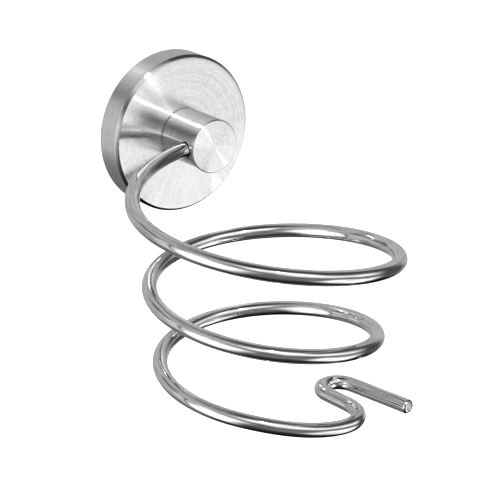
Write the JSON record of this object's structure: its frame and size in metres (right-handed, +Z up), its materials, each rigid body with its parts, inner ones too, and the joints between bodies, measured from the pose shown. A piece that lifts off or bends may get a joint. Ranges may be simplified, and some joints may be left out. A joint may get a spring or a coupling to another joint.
{
  "type": "hair dryer holder",
  "caption": "Wall-mounted hair dryer holder: a round rosette and short post carry a bent wire that coils down into a tapered nest and ends in a cable hook.",
  "frame": {"origin": "centre of the wall bracket's back face, on the wall, on the axis of the rosette and post", "axes": "+Z up, +Y into the wall, +X to the right of someone facing the wall"},
  "size_m": [0.0934, 0.1302, 0.1018],
  "materials": {
    "cast_zinc": "satin, as cast",
    "brushed_steel": "circularly brushed with polished edges",
    "screw_steel": "plain machined",
    "polished_wire": "polished"
  },
  "bodies": {
    "wall_side": {"wall_bracket": "cast_zinc"},
    "holder": {"rosette_cover": "brushed_steel", "post": "brushed_steel", "post_screw": "screw_steel", "post_washer": "screw_steel", "index_pin": "screw_steel", "clamp_screw": "screw_steel", "coil_wire": "polished_wire"},
    "grub_screw": {"rosette_grub_screw": "screw_steel"}
  },
  "joints": [
    {"name": "cover_pull_off", "type": "slide", "parent": "wall_side", "child": "holder", "axis": [0, -1, 0], "range_m": [0, 0.012]},
    {"name": "grub_screw_travel", "type": "slide", "parent": "holder", "child": "grub_screw", "axis": [0, 0, -1], "range_m": [0, 0.003]}
  ]
}
